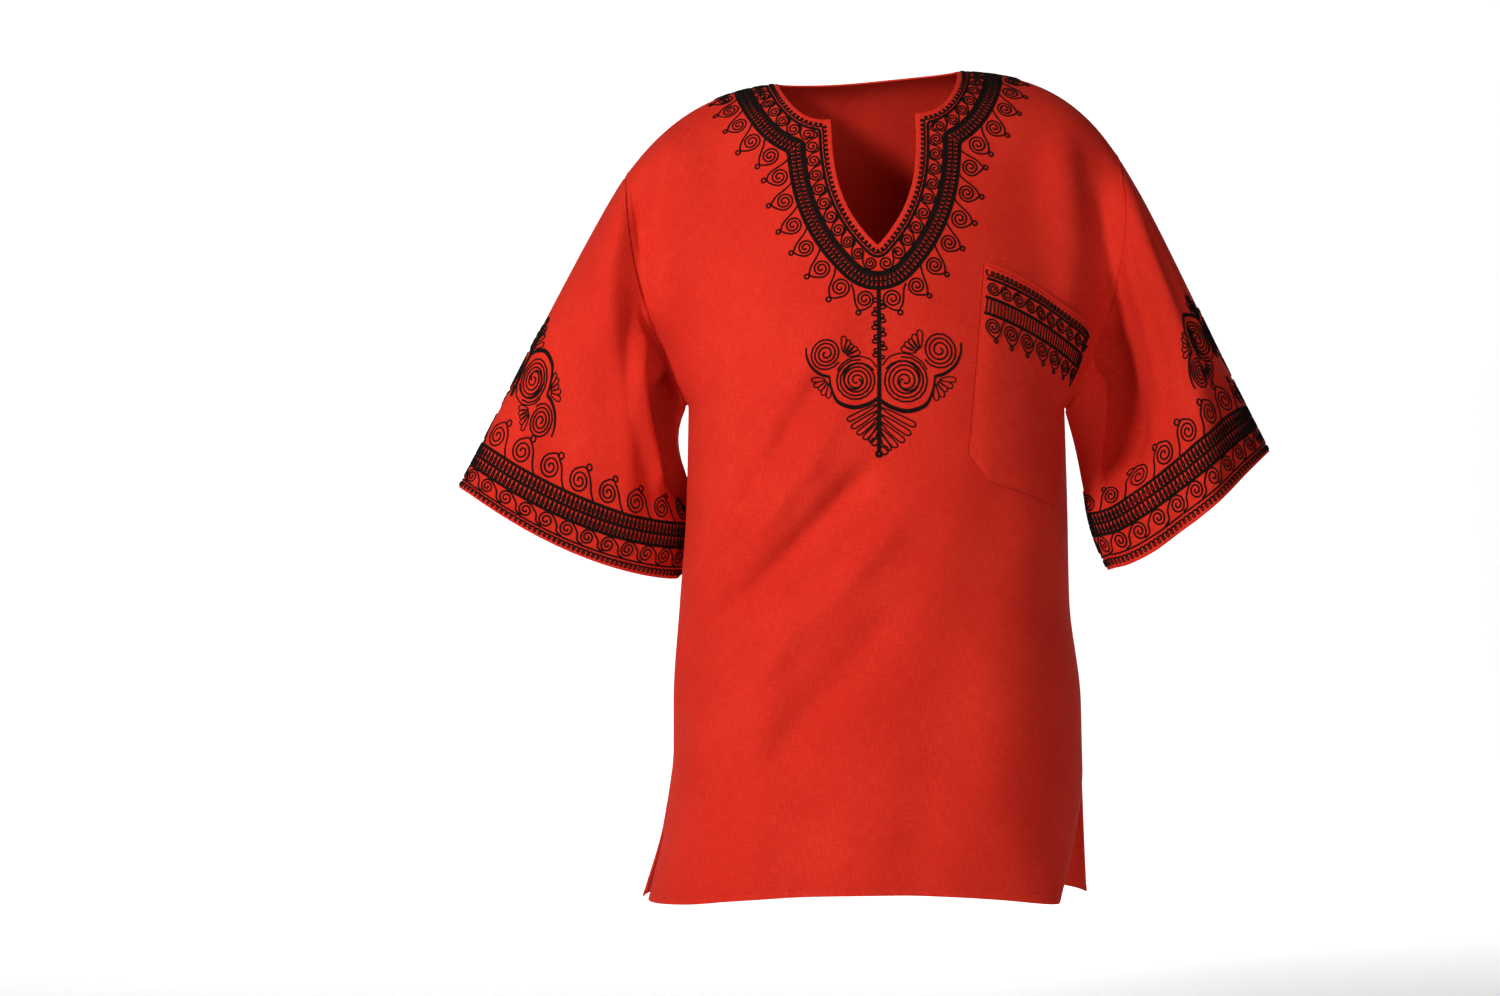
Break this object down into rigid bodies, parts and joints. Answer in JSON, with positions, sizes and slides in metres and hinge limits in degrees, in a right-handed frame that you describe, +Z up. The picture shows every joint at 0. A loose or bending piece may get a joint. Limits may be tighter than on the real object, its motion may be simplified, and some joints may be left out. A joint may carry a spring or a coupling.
{
  "type": "dashiki shirt",
  "caption": "Loose pullover shirt with wide elbow-length sleeves, slit neckline, side vents and a chest pocket, held in its worn shape and open at neck, cuffs and hem.",
  "frame": {"origin": "between the two neck points on the shoulder line, where the wearer's shoulders hold the shirt up", "axes": "+Z up towards the neck, -Y out of the shirt's front, +X towards the wearer's left"},
  "size_m": [0.7601, 0.2578, 0.767],
  "materials": {
    "cloth": "plain weave cotton, matt with a faint sheen",
    "thread": "black chain-stitched embroidery cord, slightly glossy"
  },
  "bodies": {
    "root": {"front": "cloth", "back": "cloth", "sleeve_right": "cloth", "sleeve_left": "cloth", "pocket": "cloth"}
  },
  "joints": []
}
